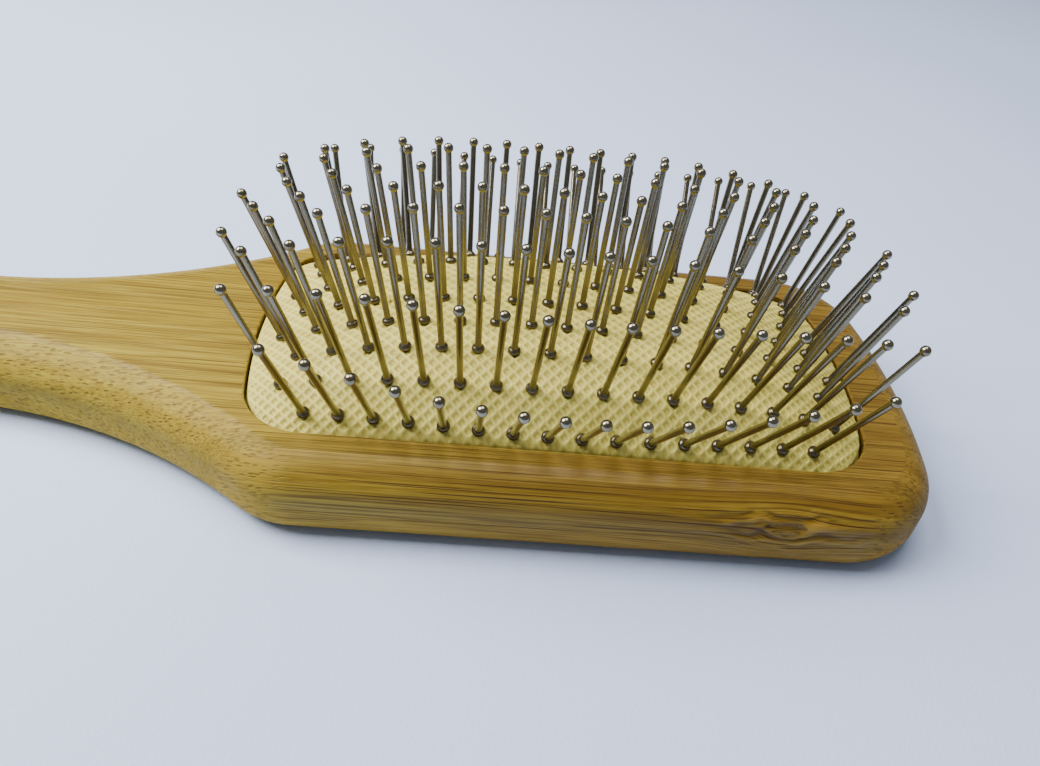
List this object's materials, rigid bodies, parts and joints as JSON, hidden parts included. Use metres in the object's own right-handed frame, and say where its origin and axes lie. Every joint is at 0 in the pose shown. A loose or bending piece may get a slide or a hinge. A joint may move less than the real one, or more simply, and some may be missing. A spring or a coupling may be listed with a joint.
{
  "type": "paddle brush",
  "caption": "Flat-backed bamboo hair brush with a rectangular head, a domed air cushion and ball-tipped steel pins that sink in with the cushion.",
  "frame": {"origin": "on the flat back of the bamboo, under the centre of the cushion", "axes": "+X towards the end of the head, -X along the handle, +Z from the flat back towards the pin tips, +Y across the head"},
  "size_m": [0.245, 0.089, 0.0502],
  "materials": {
    "bamboo": "clear semi-gloss lacquer over straight bamboo fibre",
    "cushion_rubber": "matte, embossed with a fine diamond lattice",
    "backing_cloth": "plain woven cloth",
    "pin_steel": "polished nickel-plated steel wire"
  },
  "bodies": {
    "paddle": {"bamboo_paddle": "bamboo", "cushion_skin": "cushion_rubber", "cushion_backing": "backing_cloth"},
    "pin_ring_1": {"pins_row_4_ring_1": "pin_steel", "pins_row_5_ring_1": "pin_steel", "pins_row_6_ring_1": "pin_steel"},
    "pin_ring_2": {"pins_row_3_ring_2": "pin_steel", "pins_row_4_ring_2": "pin_steel", "pins_row_5_ring_2": "pin_steel", "pins_row_6_ring_2": "pin_steel", "pins_row_7_ring_2": "pin_steel"},
    "pin_ring_3": {"pins_row_2_ring_3": "pin_steel", "pins_row_3_ring_3": "pin_steel", "pins_row_4_ring_3": "pin_steel", "pins_row_5_ring_3": "pin_steel", "pins_row_6_ring_3": "pin_steel", "pins_row_7_ring_3": "pin_steel", "pins_row_8_ring_3": "pin_steel"},
    "pin_ring_4": {"pins_row_2_ring_4": "pin_steel", "pins_row_3_ring_4": "pin_steel", "pins_row_4_ring_4": "pin_steel", "pins_row_5_ring_4": "pin_steel", "pins_row_6_ring_4": "pin_steel", "pins_row_7_ring_4": "pin_steel", "pins_row_8_ring_4": "pin_steel"},
    "pin_ring_5": {"pins_row_2_ring_5": "pin_steel", "pins_row_3_ring_5": "pin_steel", "pins_row_5_ring_5": "pin_steel", "pins_row_7_ring_5": "pin_steel", "pins_row_8_ring_5": "pin_steel"},
    "pin_ring_6": {"pins_row_1_ring_6": "pin_steel", "pins_row_2_ring_6": "pin_steel", "pins_row_4_ring_6": "pin_steel", "pins_row_6_ring_6": "pin_steel", "pins_row_8_ring_6": "pin_steel", "pins_row_9_ring_6": "pin_steel"},
    "pin_ring_7": {"pins_row_1_ring_7": "pin_steel", "pins_row_9_ring_7": "pin_steel"}
  },
  "joints": [
    {"name": "cushion_press", "type": "slide", "parent": "paddle", "child": "pin_ring_1", "axis": [0, 0, -1], "range_m": [0, 0.004], "stiffness_N_per_m": 3000, "springref_m": -0.0003, "deforming": ["cushion_skin", "cushion_backing"]},
    {"name": "ring_2_press", "type": "slide", "parent": "paddle", "child": "pin_ring_2", "axis": [0, 0, -1], "range_m": [0, 0.0035]},
    {"name": "ring_3_press", "type": "slide", "parent": "paddle", "child": "pin_ring_3", "axis": [0, 0, -1], "range_m": [0, 0.003]},
    {"name": "ring_4_press", "type": "slide", "parent": "paddle", "child": "pin_ring_4", "axis": [0, 0, -1], "range_m": [0, 0.0025]},
    {"name": "ring_5_press", "type": "slide", "parent": "paddle", "child": "pin_ring_5", "axis": [0, 0, -1], "range_m": [0, 0.002]},
    {"name": "ring_6_press", "type": "slide", "parent": "paddle", "child": "pin_ring_6", "axis": [0, 0, -1], "range_m": [0, 0.0015]},
    {"name": "ring_7_press", "type": "slide", "parent": "paddle", "child": "pin_ring_7", "axis": [0, 0, -1], "range_m": [0, 0.001]}
  ],
  "couplings": [
    {"joint": "ring_2_press", "follows": "cushion_press", "ratio": 0.875},
    {"joint": "ring_3_press", "follows": "cushion_press", "ratio": 0.75},
    {"joint": "ring_4_press", "follows": "cushion_press", "ratio": 0.625},
    {"joint": "ring_5_press", "follows": "cushion_press", "ratio": 0.5},
    {"joint": "ring_6_press", "follows": "cushion_press", "ratio": 0.375},
    {"joint": "ring_7_press", "follows": "cushion_press", "ratio": 0.25}
  ]
}
